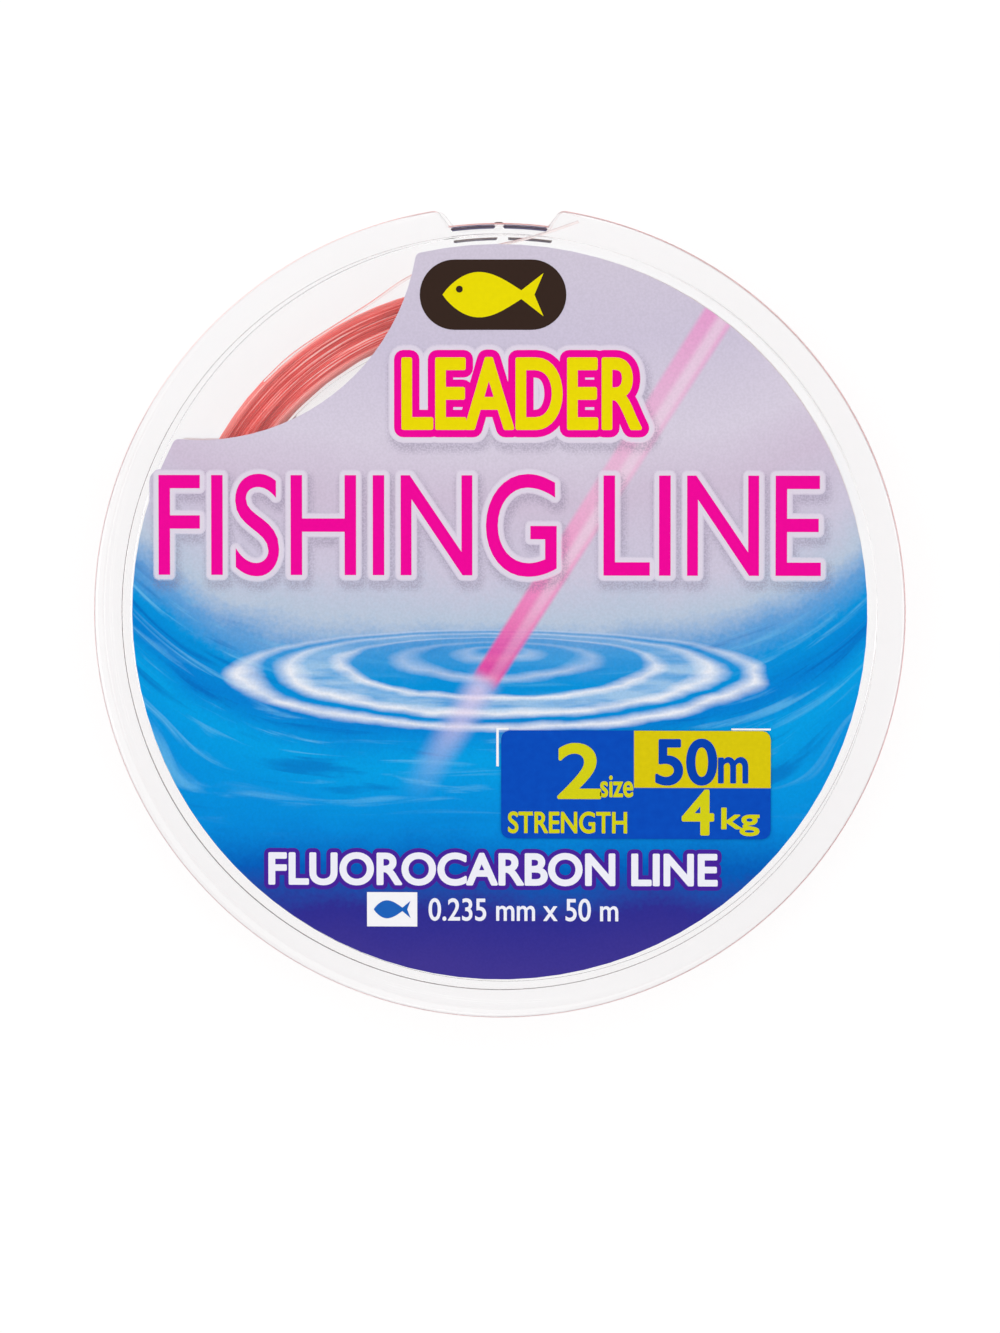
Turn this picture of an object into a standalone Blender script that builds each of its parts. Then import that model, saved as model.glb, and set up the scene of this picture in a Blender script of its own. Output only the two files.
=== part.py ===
"""A flat, clear spool of fishing line, lying on its rear face.

Metres, +Z up. The origin is the centre of the bottom face, +Z is the spool's
axis, and the notch in the two rims is at +Y. The front label faces up.
"""

import math

import bmesh
import bpy
from mathutils import Vector

# Driving dimensions: the two moulded flanges
RIM_RADIUS = 0.0330
RIM_INNER_RADIUS = 0.0307
RIM_THICKNESS = 0.0014
RIM_EDGE_ROUND = 0.0005
RIM_INNER_SLOPE = 0.0003
PLATE_THICKNESS = 0.0009
FLANGE_GAP = 0.0054

# The notch that both rims share
NOTCH_FLOOR_RADIUS = 0.0316
NOTCH_FLOOR_HALF_ANGLE = math.radians(7.3)
NOTCH_SIDE_SLOPE = math.radians(52)
NOTCH_SHOULDER_ROUND = 0.0007

# What the moulding gate leaves in the middle of each notch
GATE_STUB_WIDTH = 0.0009
GATE_STUB_HEIGHT = 0.00015
GATE_STUB_ROOT = 0.0004
GATE_STUB_THICKNESS = 0.0006

# The hollow drum: a wall on the rear half, a spigot on the front half
DRUM_RADIUS = 0.02305
DRUM_WALL = 0.0011
SPIGOT_LENGTH = 0.0015
JOINT_GAP = 0.0001

# The line
LINE_DIAMETER = 0.000235
WINDING_INNER_RADIUS = 0.0232
WINDING_OUTER_RADIUS = 0.0268
WINDING_SIDE_GAP = 0.0001
WINDING_EDGE = 0.00015

# The tape that holds the line's inner end on the drum
TAPE_THICKNESS = 0.00005
TAPE_WIDTH = 0.0030
TAPE_HALF_ANGLE = math.radians(8)
TAPE_ANGLE = math.radians(300)

# The labels
LABEL_RADIUS = 0.0299
LABEL_THICKNESS = 0.0001
LABEL_CORNER_ROUND = 0.0005
WINDOW_RADIUS = 0.0179
WINDOW_CENTRE = Vector((-0.0244, 0.0319))
STICKER_SIZE = Vector((0.0219, 0.0088))
STICKER_CENTRE = Vector((0.01115, -0.01396))
STICKER_CORNER_ROUND = 0.0007
STICKER_THICKNESS = 0.00008
ADHESIVE_GAP = 0.00005

# The free end of the line, from the winding to the notch's right shoulder
TAIL_ROUTE = [
    Vector((-0.01941, 0.01874, 0.00410)),
    Vector((-0.01661, 0.02126, 0.00410)),
    Vector((-0.01082, 0.02499, 0.00415)),
    Vector((-0.00730, 0.02732, 0.00420)),
    Vector((-0.00280, 0.02915, 0.00430)),
    Vector((0.00156, 0.03023, 0.00440)),
    Vector((0.00400, 0.03093, 0.00445)),
    Vector((0.00636, 0.03174, 0.00450)),
]
TAIL_STEP = 2.5 * LINE_DIAMETER

# Heights above the bottom face
PLATE_RECESS = RIM_THICKNESS - PLATE_THICKNESS
REAR_INSIDE = RIM_THICKNESS
FRONT_INSIDE = RIM_THICKNESS + FLANGE_GAP
TOP = 2 * RIM_THICKNESS + FLANGE_GAP
MIDDLE = TOP / 2

# How finely round shapes are divided
TURN_STEPS = 96
ROUND_STEPS = 3
ARC_STEP = math.radians(4)
MERGE_DISTANCE = 0.000001
SHARP_ANGLE = math.radians(35)


def clear_scene():
    for thing in list(bpy.data.objects):
        bpy.data.objects.remove(thing, do_unlink=True)


def new_collection(name):
    collection = bpy.data.collections.new(name)
    bpy.context.scene.collection.children.link(collection)
    return collection


def principled(name, colour, roughness, transmission=0.0, ior=1.5):
    material = bpy.data.materials.new(name)
    material.use_nodes = True
    shader = material.node_tree.nodes["Principled BSDF"]
    shader.inputs["Base Color"].default_value = (*colour, 1.0)
    shader.inputs["Roughness"].default_value = roughness
    shader.inputs["Metallic"].default_value = 0.0
    shader.inputs["Transmission Weight"].default_value = transmission
    shader.inputs["IOR"].default_value = ior
    return material


def clear_plastic(name):
    return principled(name, (0.95, 0.96, 0.97), 0.05, transmission=1.0, ior=1.59)


def clear_tape():
    return principled("clear_tape", (0.92, 0.92, 0.88), 0.2, transmission=0.8)


def wound_line():
    return principled("wound_line", (0.84, 0.20, 0.20), 0.35)


def free_line():
    return principled("free_line", (0.90, 0.45, 0.42), 0.3, transmission=0.3, ior=1.42)


def rear_paper():
    return principled("rear_paper", (0.85, 0.85, 0.85), 0.5)


def front_film():
    return principled("front_film", (0.10, 0.38, 0.70), 0.35)


def sticker_film():
    return principled("sticker_film", (0.02, 0.12, 0.55), 0.4)


def place(collection, name, mesh, material):
    """Add a mesh to the object as a named sub-part."""
    part = bpy.data.objects.new(name, mesh)
    mesh.materials.clear()
    mesh.materials.append(material)
    collection.objects.link(part)
    return part


def arc(centre, radius, start, end, steps):
    """Points along an arc, both ends included, from start angle to end angle."""
    points = []
    for step in range(steps + 1):
        angle = start + (end - start) * step / steps
        points.append(centre + radius * Vector((math.cos(angle), math.sin(angle))))
    return points


def arc_steps(start, end):
    return max(2, math.ceil(abs(end - start) / ARC_STEP))


def angle_of(vector):
    return math.atan2(vector.y, vector.x)


def circles_meet(centre_a, radius_a, centre_b, radius_b):
    """The two points where two circles cross."""
    apart = centre_b - centre_a
    distance = apart.length
    along = (distance**2 + radius_a**2 - radius_b**2) / (2 * distance)
    across = math.sqrt(radius_a**2 - along**2)
    direction = apart / distance
    middle = centre_a + along * direction
    side = across * Vector((-direction.y, direction.x))
    return middle + side, middle - side


def turned(collection, name, profile, material, closed=False):
    """A solid of revolution about Z. The profile is (radius, height) points."""
    points = [(radius, 0.0, height) for radius, height in profile]
    edges = [(i, i + 1) for i in range(len(points) - 1)]
    if closed:
        edges.append((len(points) - 1, 0))
    mesh = bpy.data.meshes.new(name)
    mesh.from_pydata(points, edges, [])
    part = place(collection, name, mesh, material)
    screw = part.modifiers.new("turn", "SCREW")
    screw.steps = TURN_STEPS
    screw.render_steps = TURN_STEPS
    screw.use_merge_vertices = True
    screw.merge_threshold = MERGE_DISTANCE
    return part


def curve_to_mesh(name, curve, height=0.0):
    """The mesh of a curve, its caps welded on, raised to a height."""
    source = bpy.data.objects.new(name, curve)
    bpy.context.scene.collection.objects.link(source)
    bpy.context.view_layer.update()
    graph = bpy.context.evaluated_depsgraph_get()
    mesh = bpy.data.meshes.new_from_object(source.evaluated_get(graph))
    bpy.data.objects.remove(source, do_unlink=True)
    solid = bmesh.new()
    solid.from_mesh(mesh)
    bmesh.ops.remove_doubles(solid, verts=solid.verts, dist=MERGE_DISTANCE)
    bmesh.ops.translate(solid, verts=solid.verts, vec=(0, 0, height))
    solid.to_mesh(mesh)
    solid.free()
    return mesh


def outline_mesh(name, outline, low, high):
    """A flat outline, given its thickness between two heights."""
    curve = bpy.data.curves.new(name, "CURVE")
    curve.dimensions = "2D"
    curve.fill_mode = "BOTH"
    curve.extrude = (high - low) / 2
    spline = curve.splines.new("POLY")
    spline.points.add(len(outline) - 1)
    for point, corner in zip(spline.points, outline):
        point.co = (corner.x, corner.y, 0.0, 1.0)
    spline.use_cyclic_u = True
    return curve_to_mesh(name, curve, (low + high) / 2)


def shade_round(part):
    """Settle the part's modifiers, and shade it smooth between its sharp edges."""
    bpy.context.view_layer.update()
    graph = bpy.context.evaluated_depsgraph_get()
    mesh = bpy.data.meshes.new_from_object(part.evaluated_get(graph))
    part.modifiers.clear()
    part.data = mesh
    part.data.shade_smooth()
    part.data.set_sharp_from_angle(angle=SHARP_ANGLE)


def notch_outline():
    """The notch, as an outline that runs out past the rim."""
    origin = Vector((0, 0))
    half = NOTCH_FLOOR_HALF_ANGLE
    corner = NOTCH_FLOOR_RADIUS * Vector((math.sin(half), math.cos(half)))
    side = Vector((math.cos(NOTCH_SIDE_SLOPE), math.sin(NOTCH_SIDE_SLOPE)))
    inwards = Vector((side.y, -side.x))
    # The shoulder's round touches the sloped side and the rim from inside
    base = corner + NOTCH_SHOULDER_ROUND * inwards
    reach = RIM_RADIUS - NOTCH_SHOULDER_ROUND
    slide = -base.dot(side) + math.sqrt(base.dot(side) ** 2 - base.dot(base) + reach**2)
    shoulder = base + slide * side
    start = angle_of(-inwards)
    end = angle_of(shoulder)
    right = arc(shoulder, NOTCH_SHOULDER_ROUND, start, end, ROUND_STEPS)
    outside = right[-1] * (1 + 2 * NOTCH_SHOULDER_ROUND / RIM_RADIUS)
    right.append(outside)
    top = Vector((outside.x, RIM_RADIUS + 4 * NOTCH_SHOULDER_ROUND))
    right.append(top)
    left = [Vector((-point.x, point.y)) for point in reversed(right)]
    floor_start = math.pi / 2 + half
    floor_end = math.pi / 2 - half
    floor = arc(origin, NOTCH_FLOOR_RADIUS, floor_start, floor_end, 6)
    return floor + right + left


def combine(part, other, operation):
    """Cut another solid out of a part, or join it on."""
    boolean = part.modifiers.new(operation.lower(), "BOOLEAN")
    boolean.operation = operation
    boolean.solver = "EXACT"
    boolean.object = other


def guide(collection, name, mesh):
    """A solid that only shapes others."""
    solid = bpy.data.objects.new(name, mesh)
    solid.hide_render = True
    solid.display_type = "WIRE"
    collection.objects.link(solid)
    return solid


def rim_profile():
    """The rim from its inside face, round its edge, to the plate's outer face.

    Heights are measured outwards from the flange's inside face.
    """
    middle = Vector((RIM_RADIUS - RIM_EDGE_ROUND, RIM_EDGE_ROUND))
    inside = arc(middle, RIM_EDGE_ROUND, -math.pi / 2, 0, ROUND_STEPS)
    middle = Vector((middle.x, RIM_THICKNESS - RIM_EDGE_ROUND))
    outside = arc(middle, RIM_EDGE_ROUND, 0, math.pi / 2, ROUND_STEPS)
    slope_top = Vector((RIM_INNER_RADIUS + RIM_INNER_SLOPE, RIM_THICKNESS))
    slope_foot = Vector((RIM_INNER_RADIUS, PLATE_THICKNESS))
    return inside + outside + [slope_top, slope_foot, Vector((0, PLATE_THICKNESS))]


def finish_flange(half, guides, low):
    """Cut the notch out of a flange, and leave the moulding gate's stub in it."""
    middle = low + RIM_THICKNESS / 2
    notch = outline_mesh("notch", notch_outline(), low - RIM_THICKNESS, low + 2 * RIM_THICKNESS)
    combine(half, guide(guides, half.name + "_notch", notch), "DIFFERENCE")
    root = NOTCH_FLOOR_RADIUS - GATE_STUB_ROOT
    tip = NOTCH_FLOOR_RADIUS + GATE_STUB_HEIGHT
    outline = [
        Vector((-GATE_STUB_WIDTH / 2, root)),
        Vector((GATE_STUB_WIDTH / 2, root)),
        Vector((GATE_STUB_WIDTH / 3, tip)),
        Vector((-GATE_STUB_WIDTH / 3, tip)),
    ]
    half_thickness = GATE_STUB_THICKNESS / 2
    stub = outline_mesh("gate_stub", outline, middle - half_thickness, middle + half_thickness)
    combine(half, guide(guides, half.name + "_gate_stub", stub), "UNION")
    shade_round(half)


def make_rear_half(collection, guides):
    """The rear flange, with the drum's wall standing on it."""
    wall_inside = DRUM_RADIUS - DRUM_WALL
    wall_top = FRONT_INSIDE - JOINT_GAP
    profile = [
        (0, REAR_INSIDE),
        (wall_inside, REAR_INSIDE),
        (wall_inside, wall_top),
        (DRUM_RADIUS, wall_top),
        (DRUM_RADIUS, REAR_INSIDE),
    ]
    profile += [(point.x, REAR_INSIDE - point.y) for point in rim_profile()]
    half = turned(collection, "rear_half", profile, clear_plastic("rear_clear_plastic"))
    finish_flange(half, guides, 0.0)


def make_front_half(collection, guides):
    """The front flange, with a spigot that locates inside the drum's wall."""
    spigot_outside = DRUM_RADIUS - DRUM_WALL - JOINT_GAP
    spigot_inside = spigot_outside - DRUM_WALL
    spigot_end = FRONT_INSIDE - SPIGOT_LENGTH
    profile = [(point.x, FRONT_INSIDE + point.y) for point in reversed(rim_profile())]
    profile += [
        (spigot_outside, FRONT_INSIDE),
        (spigot_outside, spigot_end),
        (spigot_inside, spigot_end),
        (spigot_inside, FRONT_INSIDE),
        (0, FRONT_INSIDE),
    ]
    half = turned(collection, "front_half", profile, clear_plastic("front_clear_plastic"))
    finish_flange(half, guides, FRONT_INSIDE)


def make_line_coil(collection):
    """The wound line, as the outer shape of all its turns."""
    inner = WINDING_INNER_RADIUS
    outer = WINDING_OUTER_RADIUS
    bottom = REAR_INSIDE + WINDING_SIDE_GAP
    top = FRONT_INSIDE - WINDING_SIDE_GAP
    profile = [
        (inner, top),
        (outer - WINDING_EDGE, top),
        (outer, top - WINDING_EDGE),
        (outer, bottom + WINDING_EDGE),
        (outer - WINDING_EDGE, bottom),
        (inner, bottom),
    ]
    coil = turned(collection, "line_coil", profile, wound_line(), closed=True)
    shade_round(coil)


def catmull_rom(before, start, end, after, share):
    """A point between start and end on a smooth curve through all four."""
    return 0.5 * (
        2 * start
        + (end - before) * share
        + (2 * before - 5 * start + 4 * end - after) * share**2
        + (3 * start - before - 3 * end + after) * share**3
    )


def smooth_route(route, spacing):
    """Points about evenly spaced on a smooth curve through the route's points."""
    first = 2 * route[0] - route[1]
    last = 2 * route[-1] - route[-2]
    padded = [first, *route, last]
    points = []
    for i in range(len(route) - 1):
        count = max(1, round((route[i + 1] - route[i]).length / spacing))
        for step in range(count):
            points.append(catmull_rom(*padded[i : i + 4], step / count))
    points.append(route[-1].copy())
    return points


def make_line_tail(collection):
    """The line's free end, which lies between the flanges."""
    curve = bpy.data.curves.new("line_tail", "CURVE")
    curve.dimensions = "3D"
    curve.bevel_depth = LINE_DIAMETER / 2
    curve.bevel_resolution = 2
    curve.use_fill_caps = True
    points = smooth_route(TAIL_ROUTE, TAIL_STEP)
    spline = curve.splines.new("POLY")
    spline.points.add(len(points) - 1)
    for point, centre in zip(spline.points, points):
        point.co = (*centre, 1.0)
    mesh = curve_to_mesh("line_tail", curve)
    shade_round(place(collection, "line_tail", mesh, free_line()))


def make_start_tape(collection):
    """A strip of tape bent round the drum, over the line's inner end."""
    origin = Vector((0, 0))
    inner = DRUM_RADIUS + ADHESIVE_GAP
    outer = inner + TAPE_THICKNESS
    start = TAPE_ANGLE - TAPE_HALF_ANGLE
    end = TAPE_ANGLE + TAPE_HALF_ANGLE
    steps = arc_steps(start, end) * 2
    outline = arc(origin, outer, start, end, steps) + arc(origin, inner, end, start, steps)
    low = MIDDLE - TAPE_WIDTH / 2
    mesh = outline_mesh("start_tape", outline, low, low + TAPE_WIDTH)
    shade_round(place(collection, "start_tape", mesh, clear_tape()))


def label_outline():
    """A disc with a round bite, and small rounds where the two edges meet."""
    origin = Vector((0, 0))
    fillet = LABEL_CORNER_ROUND
    meets = circles_meet(origin, LABEL_RADIUS - fillet, WINDOW_CENTRE, WINDOW_RADIUS + fillet)
    upper, lower = sorted(meets, key=angle_of)
    # Round the disc from the lower corner to the upper one, then back along the bite
    disc_start = angle_of(lower)
    disc_end = angle_of(upper) + 2 * math.pi
    bite_start = angle_of(upper - WINDOW_CENTRE)
    bite_end = angle_of(lower - WINDOW_CENTRE)
    upper_round = arc(upper, fillet, angle_of(upper), bite_start + math.pi, ROUND_STEPS)
    lower_round = arc(lower, fillet, bite_end - math.pi, disc_start - 2 * math.pi, ROUND_STEPS)
    disc = arc(origin, LABEL_RADIUS, disc_start, disc_end, arc_steps(disc_start, disc_end))
    bite = arc(WINDOW_CENTRE, WINDOW_RADIUS, bite_start, bite_end, arc_steps(bite_start, bite_end))
    return disc + upper_round[1:-1] + bite + lower_round[1:-1]


def make_label(collection, name, low, material):
    """One of the labels, which fill the recess inside the rim."""
    mesh = outline_mesh(name, label_outline(), low, low + LABEL_THICKNESS)
    shade_round(place(collection, name, mesh, material))


def make_spec_sticker(collection, low):
    """The small sticker with the line's data, on the front label."""
    fillet = STICKER_CORNER_ROUND
    half = STICKER_SIZE / 2 - Vector((fillet, fillet))
    outline = []
    for i, (x_side, y_side) in enumerate([(1, 1), (-1, 1), (-1, -1), (1, -1)]):
        corner = STICKER_CENTRE + Vector((x_side * half.x, y_side * half.y))
        start = i * math.pi / 2
        outline += arc(corner, fillet, start, start + math.pi / 2, ROUND_STEPS)
    mesh = outline_mesh("spec_sticker", outline, low, low + STICKER_THICKNESS)
    shade_round(place(collection, "spec_sticker", mesh, sticker_film()))


def build():
    clear_scene()
    spool = new_collection("fishing_line_spool")
    guides = new_collection("cutters")

    make_rear_half(spool, guides)
    make_front_half(spool, guides)
    make_start_tape(spool)
    make_line_coil(spool)
    make_line_tail(spool)

    rear_label_low = PLATE_RECESS - ADHESIVE_GAP - LABEL_THICKNESS
    front_label_low = TOP - PLATE_RECESS + ADHESIVE_GAP
    sticker_low = front_label_low + LABEL_THICKNESS + ADHESIVE_GAP
    make_label(spool, "rear_label", rear_label_low, rear_paper())
    make_label(spool, "front_label", front_label_low, front_film())
    make_spec_sticker(spool, sticker_low)


build()
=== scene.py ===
"""The looks of a clear spool of pink fishing line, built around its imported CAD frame.

Metres, +Z up, in the frame's own axes: the spool lies on its rear rim, the
front label faces up and the notch is at +Y. MM turns millimetres into metres.
"""

import math

import bmesh
import bpy
import numpy as np
from mathutils import Matrix, Vector
from mathutils.geometry import delaunay_2d_cdt


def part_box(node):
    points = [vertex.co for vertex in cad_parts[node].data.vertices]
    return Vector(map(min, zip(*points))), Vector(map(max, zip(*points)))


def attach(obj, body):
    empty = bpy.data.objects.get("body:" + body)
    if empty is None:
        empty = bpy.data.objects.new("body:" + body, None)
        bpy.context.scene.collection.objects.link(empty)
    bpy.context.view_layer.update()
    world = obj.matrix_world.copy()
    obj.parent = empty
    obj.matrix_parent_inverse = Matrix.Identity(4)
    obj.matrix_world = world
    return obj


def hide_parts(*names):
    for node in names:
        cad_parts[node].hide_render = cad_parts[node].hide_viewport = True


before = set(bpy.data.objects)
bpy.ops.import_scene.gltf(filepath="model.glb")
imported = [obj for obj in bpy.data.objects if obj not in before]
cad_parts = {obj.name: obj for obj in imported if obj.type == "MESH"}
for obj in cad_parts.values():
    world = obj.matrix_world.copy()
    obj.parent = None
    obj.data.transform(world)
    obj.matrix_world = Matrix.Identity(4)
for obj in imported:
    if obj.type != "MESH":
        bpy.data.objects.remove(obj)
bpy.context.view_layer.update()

MM = 0.001

# Places and sizes that the frame gives
REAR_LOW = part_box("rear_half")[0]
FRONT_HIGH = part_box("front_half")[1]
COIL_LOW, COIL_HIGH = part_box("line_coil")
LABEL_LOW, LABEL_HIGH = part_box("front_label")
REAR_LABEL_LOW, REAR_LABEL_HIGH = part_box("rear_label")
STICKER_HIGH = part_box("spec_sticker")[1]

RIM_RADIUS = FRONT_HIGH.x
TOP = FRONT_HIGH.z

# The moulded flanges. Where it shows more of the light, an edge is sharper here than in the CAD.
RIM_THICKNESS = 1.4 * MM
PLATE_THICKNESS = 0.9 * MM
RIM_INNER_RADIUS = 30.7 * MM
RIM_INNER_SLOPE = 0.03 * MM
RIM_EDGE_ROUND = 0.3 * MM
SMALL_ROUND = 0.035 * MM
HOLDING_EDGE = 0.02 * MM
PLATE_RINGS = (10 * MM, 30 * MM)
REAR_INSIDE = REAR_LOW.z + RIM_THICKNESS
FRONT_INSIDE = TOP - RIM_THICKNESS
DRUM_RADIUS = 23.05 * MM
DRUM_WALL = 1.1 * MM
SPIGOT_LENGTH = 1.5 * MM
JOINT_GAP = 0.1 * MM

# The notch
NOTCH_FLOOR_RADIUS = 31.6 * MM
NOTCH_HALF_ANGLE = math.radians(7.3)
NOTCH_SIDE_SLOPE = math.radians(52)
NOTCH_SHOULDER_ROUND = 0.7 * MM
NOTCH_CORNER_ROUND = 0.15 * MM
FRONT_NOTCH_CHAMFER = 0.45 * MM
GATE_STUB_HALF_WIDTH = 0.4 * MM
GATE_STUB_HALF_TOP = 0.25 * MM
GATE_STUB_HEIGHT = 0.08 * MM

# The groove behind the notch, in the rear flange's outer face
GROOVE_RADIUS = 30.50 * MM
GROOVE_DEPTH = 0.22 * MM
GROOVE_BRIDGE_HALF_WIDTH = 0.6 * MM

# The line
LINE_RADIUS = 0.1175 * MM
LINE_LENGTH = 50.0
TAIL_LENGTH = 27 * MM
COIL_INNER_RADIUS = 23.45 * MM
LAYERS = 16
OUTER_LAYERS_FROM = 13
LAST_SWEEPS = 2.5
POINTS_PER_TURN = 90

# How far the turns stray from where they should lie, alone and together with their neighbours
HEIGHT_STRAY = 0.045 * MM
HEIGHT_SWAY = 0.035 * MM
RADIUS_STRAY = 0.040 * MM
RADIUS_SWAY = 0.030 * MM

# Past this height from its middle the winding shows, so its turns keep all their points
SHOWING_HEIGHT = 1.9 * MM

# Painted glow: the wound line emits light of its own colour, as a share of it, in place of the light that
# it scatters from turn to turn
LINE_GLOW = 0.17

# The free end's route, from the winding to beside the notch, in metres as in the CAD
TAIL_ROUTE = [
    (-0.01941, 0.01874, 0.00410),
    (-0.01661, 0.02126, 0.00410),
    (-0.01082, 0.02499, 0.00415),
    (-0.00730, 0.02732, 0.00420),
    (-0.00280, 0.02915, 0.00430),
    (0.00156, 0.03023, 0.00440),
    (0.00400, 0.03093, 0.00445),
    (0.00636, 0.03174, 0.00450),
]
TAIL_START_ANGLE = math.atan2(TAIL_ROUTE[0][1], TAIL_ROUTE[0][0])

# Print: each layer is a thin solid, and the next one lies a step above it
PRINT_THICKNESS = 0.005 * MM
PRINT_STEP = 0.008 * MM
TEXT_LEVEL = LABEL_HIGH.z + 0.006 * MM
STICKER_TEXT_LEVEL = STICKER_HIGH.z + 0.008 * MM
FLAT_LEVEL = LABEL_HIGH.z + 0.01 * MM
FLAT_STEP = 0.02 * MM

# Soft layers behind a title, as (growth in millimetres, share of the picture that they cover)
SHADOW_SHIFT = (0.20, -0.50)
SHADOW_LAYERS = [(0.95, 0.12), (0.78, 0.23), (0.62, 0.34), (0.46, 0.44)]
GLOW_LAYERS = [(0.46, 0.55), (0.36, 0.90)]
VEIL_GRAIN = 1.1

# The sticker's yellow box fills its upper right
YELLOW_LEFT = 11.0 * MM
YELLOW_FOOT = -14.2 * MM

# The picture on the front label, in millimetres: rings are (reach, half their width, strength)
RIPPLE_CENTRE = (-0.1, -3.0)
RIPPLE_FLATNESS = 8.2
RIPPLE_NEARNESS = 0.6
RIPPLES = [(2.4, 1.6, 0.6), (7.6, 1.5, 0.5), (13.0, 1.0, 0.95), (17.2, 1.5, 1.0), (20.8, 1.5, 1.0)]
STRAND_PICTURE = ((18.5, 25.2), (-0.9, -5.2))

# The water rises towards the label's sides with the fourth power of the way from its middle
WATER_BOW = -1e-5

# The camera: where it stands from the front face's middle, where it aims, and its lens
CAMERA_DISTANCE = 0.560
CAMERA_DIRECTION = (0.0500, 0.0435, 0.9978)
CAMERA_AIM = (0.08 * MM, -4.39 * MM)
CAMERA_HEIGHT = 7.5 * MM
CAMERA_LENS = 186.06

# The floor, just below the spool, and how far its light lifts it to white
FLOOR_HALF_WIDTH = 4.0
FLOOR_GAP = 0.05 * MM
FLOOR_GLOW = 0.83

# Soft lights: azimuth and elevation, and the inner and outer angle, in degrees, then strength
SOFT_LIGHTS = [(270, 45, 9, 22, 2.2), (90, 45, 9, 22, 2.2), (0, 42, 9, 22, 2.2)]


def srgb(red, green, blue):
    """A colour read off a screen, 0 to 255, as a linear colour."""
    linear = []
    for value in (red, green, blue):
        share = value / 255
        linear.append(share / 12.92 if share <= 0.04045 else ((share + 0.055) / 1.055) ** 2.4)
    return (*linear, 1.0)


WHITE = (1.0, 1.0, 1.0, 1.0)
BLACK = (0.0, 0.0, 0.0, 1.0)


# ---- shader nodes


class Nodes:
    """A node tree, with short calls for the nodes that are used here."""

    def __init__(self, tree):
        self.tree = tree

    def put(self, socket, value):
        if isinstance(value, bpy.types.NodeSocket):
            self.tree.links.new(value, socket)
        else:
            socket.default_value = value

    def node(self, kind, inputs=(), **settings):
        node = self.tree.nodes.new(kind)
        for name, value in settings.items():
            setattr(node, name, value)
        for key, value in dict(inputs).items():
            self.put(node.inputs[key], value)
        return node

    def place(self):
        """The place on the object, in millimetres."""
        coordinates = self.node("ShaderNodeTexCoord").outputs["Object"]
        return self.scaled(coordinates, 1 / MM)

    def scaled(self, vector, scale):
        return self.node("ShaderNodeVectorMath", {0: vector, "Scale": scale}, operation="SCALE").outputs[0]

    def axes(self, vector):
        return self.node("ShaderNodeSeparateXYZ", {0: vector}).outputs

    def vector(self, x=0.0, y=0.0, z=0.0):
        return self.node("ShaderNodeCombineXYZ", {0: x, 1: y, 2: z}).outputs[0]

    def dot(self, a, b):
        return self.node("ShaderNodeVectorMath", {0: a, 1: b}, operation="DOT_PRODUCT").outputs["Value"]

    def math(self, operation, a, b=0.0, clamp=False):
        return self.node("ShaderNodeMath", {0: a, 1: b}, operation=operation, use_clamp=clamp).outputs[0]

    def add(self, a, b):
        return self.math("ADD", a, b)

    def times(self, product, *factors):
        for factor in factors:
            product = self.math("MULTIPLY", product, factor)
        return product

    def length(self, x, y):
        """The length of the flat vector (x, y)."""
        return self.math("SQRT", self.add(self.times(x, x), self.times(y, y)))

    def noise(self, vector, scale, detail=2.0, distortion=0.0):
        inputs = {"Vector": vector, "Scale": scale, "Detail": detail, "Distortion": distortion}
        return self.node("ShaderNodeTexNoise", inputs).outputs["Fac"]

    def ramp(self, value, stops, low=0.0, high=1.0):
        """A colour from a value, by (value, colour) stops between low and high."""
        share = self.node("ShaderNodeMapRange", {0: value, 1: low, 2: high}).outputs[0]
        node = self.node("ShaderNodeValToRGB", {"Fac": share})
        elements = node.color_ramp.elements
        while len(elements) < len(stops):
            elements.new(1.0)
        for element, (stop, colour) in zip(elements, stops):
            element.position = (stop - low) / (high - low)
            element.color = colour
        return node.outputs["Color"]

    def mix(self, share, a, b, blend="MIX"):
        inputs = {0: share, 6: a, 7: b}
        return self.node("ShaderNodeMix", inputs, data_type="RGBA", blend_type=blend).outputs[2]

    def ease(self, value, low, high, start=0.0, end=1.0):
        """Eased from start, at low, to end, at high, and level outside them."""
        inputs = {0: value, 1: low, 2: high, 3: start, 4: end}
        return self.node("ShaderNodeMapRange", inputs, interpolation_type="SMOOTHSTEP").outputs[0]

    def band(self, value, low, high, edge):
        """1 between low and high and 0 beyond them, with soft edges above both."""
        return self.times(self.ease(value, low, low + edge), self.ease(value, high, high + edge, 1.0, 0.0))


class Paint(Nodes):
    """A material on the Principled shader."""

    def __init__(self, name):
        self.material = bpy.data.materials.new(name)
        self.material.use_nodes = True
        super().__init__(self.material.node_tree)
        self.shader = self.tree.nodes["Principled BSDF"]
        self.output = self.tree.nodes["Material Output"]

    def principled(self, **values):
        """Set the Principled shader's inputs, by name with _ for a space."""
        for name, value in values.items():
            self.put(self.shader.inputs[name.replace("_", " ")], value)

    def bump(self, height, strength, distance=0.05 * MM):
        """Raise the surface by a height from 0 to 1."""
        inputs = {"Height": height, "Strength": strength, "Distance": distance}
        self.principled(Normal=self.node("ShaderNodeBump", inputs).outputs["Normal"])

    def blend_shader(self, share, other):
        """Mix another shader in, over what reaches the output so far."""
        socket = self.output.inputs["Surface"]
        before = socket.links[0].from_socket
        mixed = self.node("ShaderNodeMixShader", {0: share, 1: before, 2: other})
        self.put(socket, mixed.outputs[0])


# ---- materials


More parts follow.
